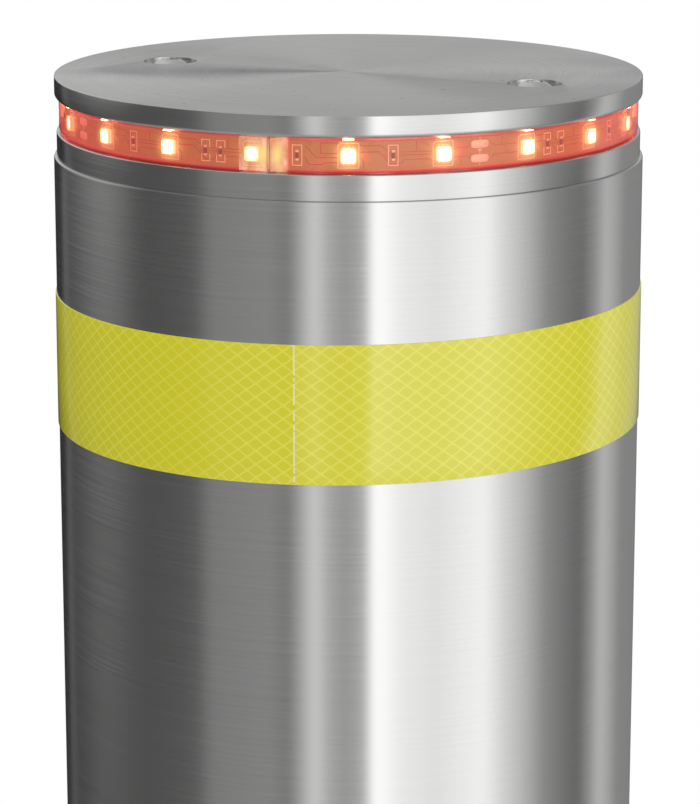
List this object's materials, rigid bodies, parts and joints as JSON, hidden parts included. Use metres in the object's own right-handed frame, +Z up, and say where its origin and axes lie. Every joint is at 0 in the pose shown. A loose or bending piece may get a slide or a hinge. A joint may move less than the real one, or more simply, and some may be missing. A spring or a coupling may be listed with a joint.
{
  "type": "retractable bollard",
  "caption": "Powered traffic bollard: a round steel tube with a lit head and reflective band that sinks into its ground casing.",
  "frame": {"origin": "centre of the underside of the casing's base plate, on the tube's axis", "axes": "+Z up along the tube's axis, -Y towards the road user who sees the light strip's joint just left of centre, +X towards the drain stub"},
  "size_m": [0.4, 0.4, 1.656],
  "materials": {
    "turned_stainless": "turned on the face, finely brushed round the rim",
    "satin_stainless": "brushed round the tube, satin",
    "bright_stainless": "bright cold-headed screws",
    "machined_steel": "machined, lightly oiled",
    "zinc_steel": "zinc-rich primer, matt grey",
    "galvanised_steel": "hot-dip galvanised, spangled",
    "rusty_bar": "mill scale with light rust",
    "black_rubber": "moulded, matt",
    "red_silicone": "translucent red-orange silicone, lit from within",
    "clear_silicone": "milky clear silicone",
    "amber_board": "flexible circuit, amber film over copper",
    "led_white": "white moulded packages, lit",
    "yellow_tape": "prismatic reflective film with a sealed cell lattice",
    "acetal": "natural acetal, machined",
    "bronze": "machined bronze",
    "motor_paint": "dark grey stove enamel",
    "gearbox_paint": "blue-grey enamel on cast aluminium",
    "housing_paint": "blue enamel on cast iron",
    "bearing_steel": "ground and polished",
    "red_elastomer": "cast polyurethane",
    "sensor_brass": "nickel-plated brass barrel",
    "box_plastic": "light grey moulded plastic",
    "gland_plastic": "black nylon"
  },
  "bodies": {
    "casing": {"base_plate": "galvanised_steel", "casing_tube": "galvanised_steel", "casing_flange": "galvanised_steel", "flange_gussets": "galvanised_steel", "anchor_bars": "rusty_bar", "cover_frame": "satin_stainless", "cover_screws": "bright_stainless", "wiper_seal": "black_rubber", "guide_bush": "acetal", "guide_housing": "zinc_steel", "guide_rails": "galvanised_steel", "upper_stop_ring": "galvanised_steel", "upper_buffer": "black_rubber", "lower_stop_ring": "galvanised_steel", "lower_buffers": "black_rubber", "drain_stub": "galvanised_steel", "conduit_stub": "galvanised_steel", "motor": "motor_paint", "gearbox": "gearbox_paint", "gearbox_screws": "bright_stainless", "drive_plate": "zinc_steel", "drive_pillars": "machined_steel", "pillar_nuts": "bright_stainless", "bearing_housing": "housing_paint", "housing_screws": "bright_stainless", "bearing_outer_rings": "bearing_steel", "bearing_cover": "machined_steel", "bearing_cover_screws": "bright_stainless", "limit_sensors": "sensor_brass", "junction_box": "box_plastic", "junction_box_lid": "box_plastic", "junction_box_glands": "gland_plastic"},
    "bollard": {"cap_plate": "turned_stainless", "cap_screws": "bright_stainless", "cap_o_ring": "black_rubber", "light_ring": "satin_stainless", "head_o_ring": "black_rubber", "led_board": "amber_board", "led_packages": "led_white", "led_sleeve": "red_silicone", "sleeve_end_caps": "clear_silicone", "head_bridge": "zinc_steel", "led_cable_gland": "gland_plastic", "bollard_tube": "satin_stainless", "reflective_band": "yellow_tape", "lower_flange": "zinc_steel", "guide_shoes": "acetal", "guide_shoe_screws": "bright_stainless", "push_tube": "zinc_steel", "drive_nut": "bronze", "nut_screws": "bright_stainless"},
    "lead_screw": {"lead_screw": "machined_steel", "screw_tip_bush": "acetal", "bearing_inner_rings": "bearing_steel", "bearing_balls": "bearing_steel", "screw_locknut": "machined_steel", "coupling_upper_hub": "machined_steel", "coupling_spider": "red_elastomer", "coupling_lower_hub": "machined_steel", "gearbox_shaft": "machined_steel"}
  },
  "joints": [
    {"name": "lift", "type": "slide", "parent": "casing", "child": "bollard", "axis": [0, 0, 1], "range_m": [-0.6, 0]},
    {"name": "screw_spin", "type": "hinge", "parent": "casing", "child": "lead_screw", "pos_m": [0, 0, 0.366], "axis": [0, 0, 1], "range_deg": [-1, 10801]}
  ],
  "couplings": [
    {"joint": "screw_spin", "follows": "lift", "rad_per_m": -314.16}
  ]
}
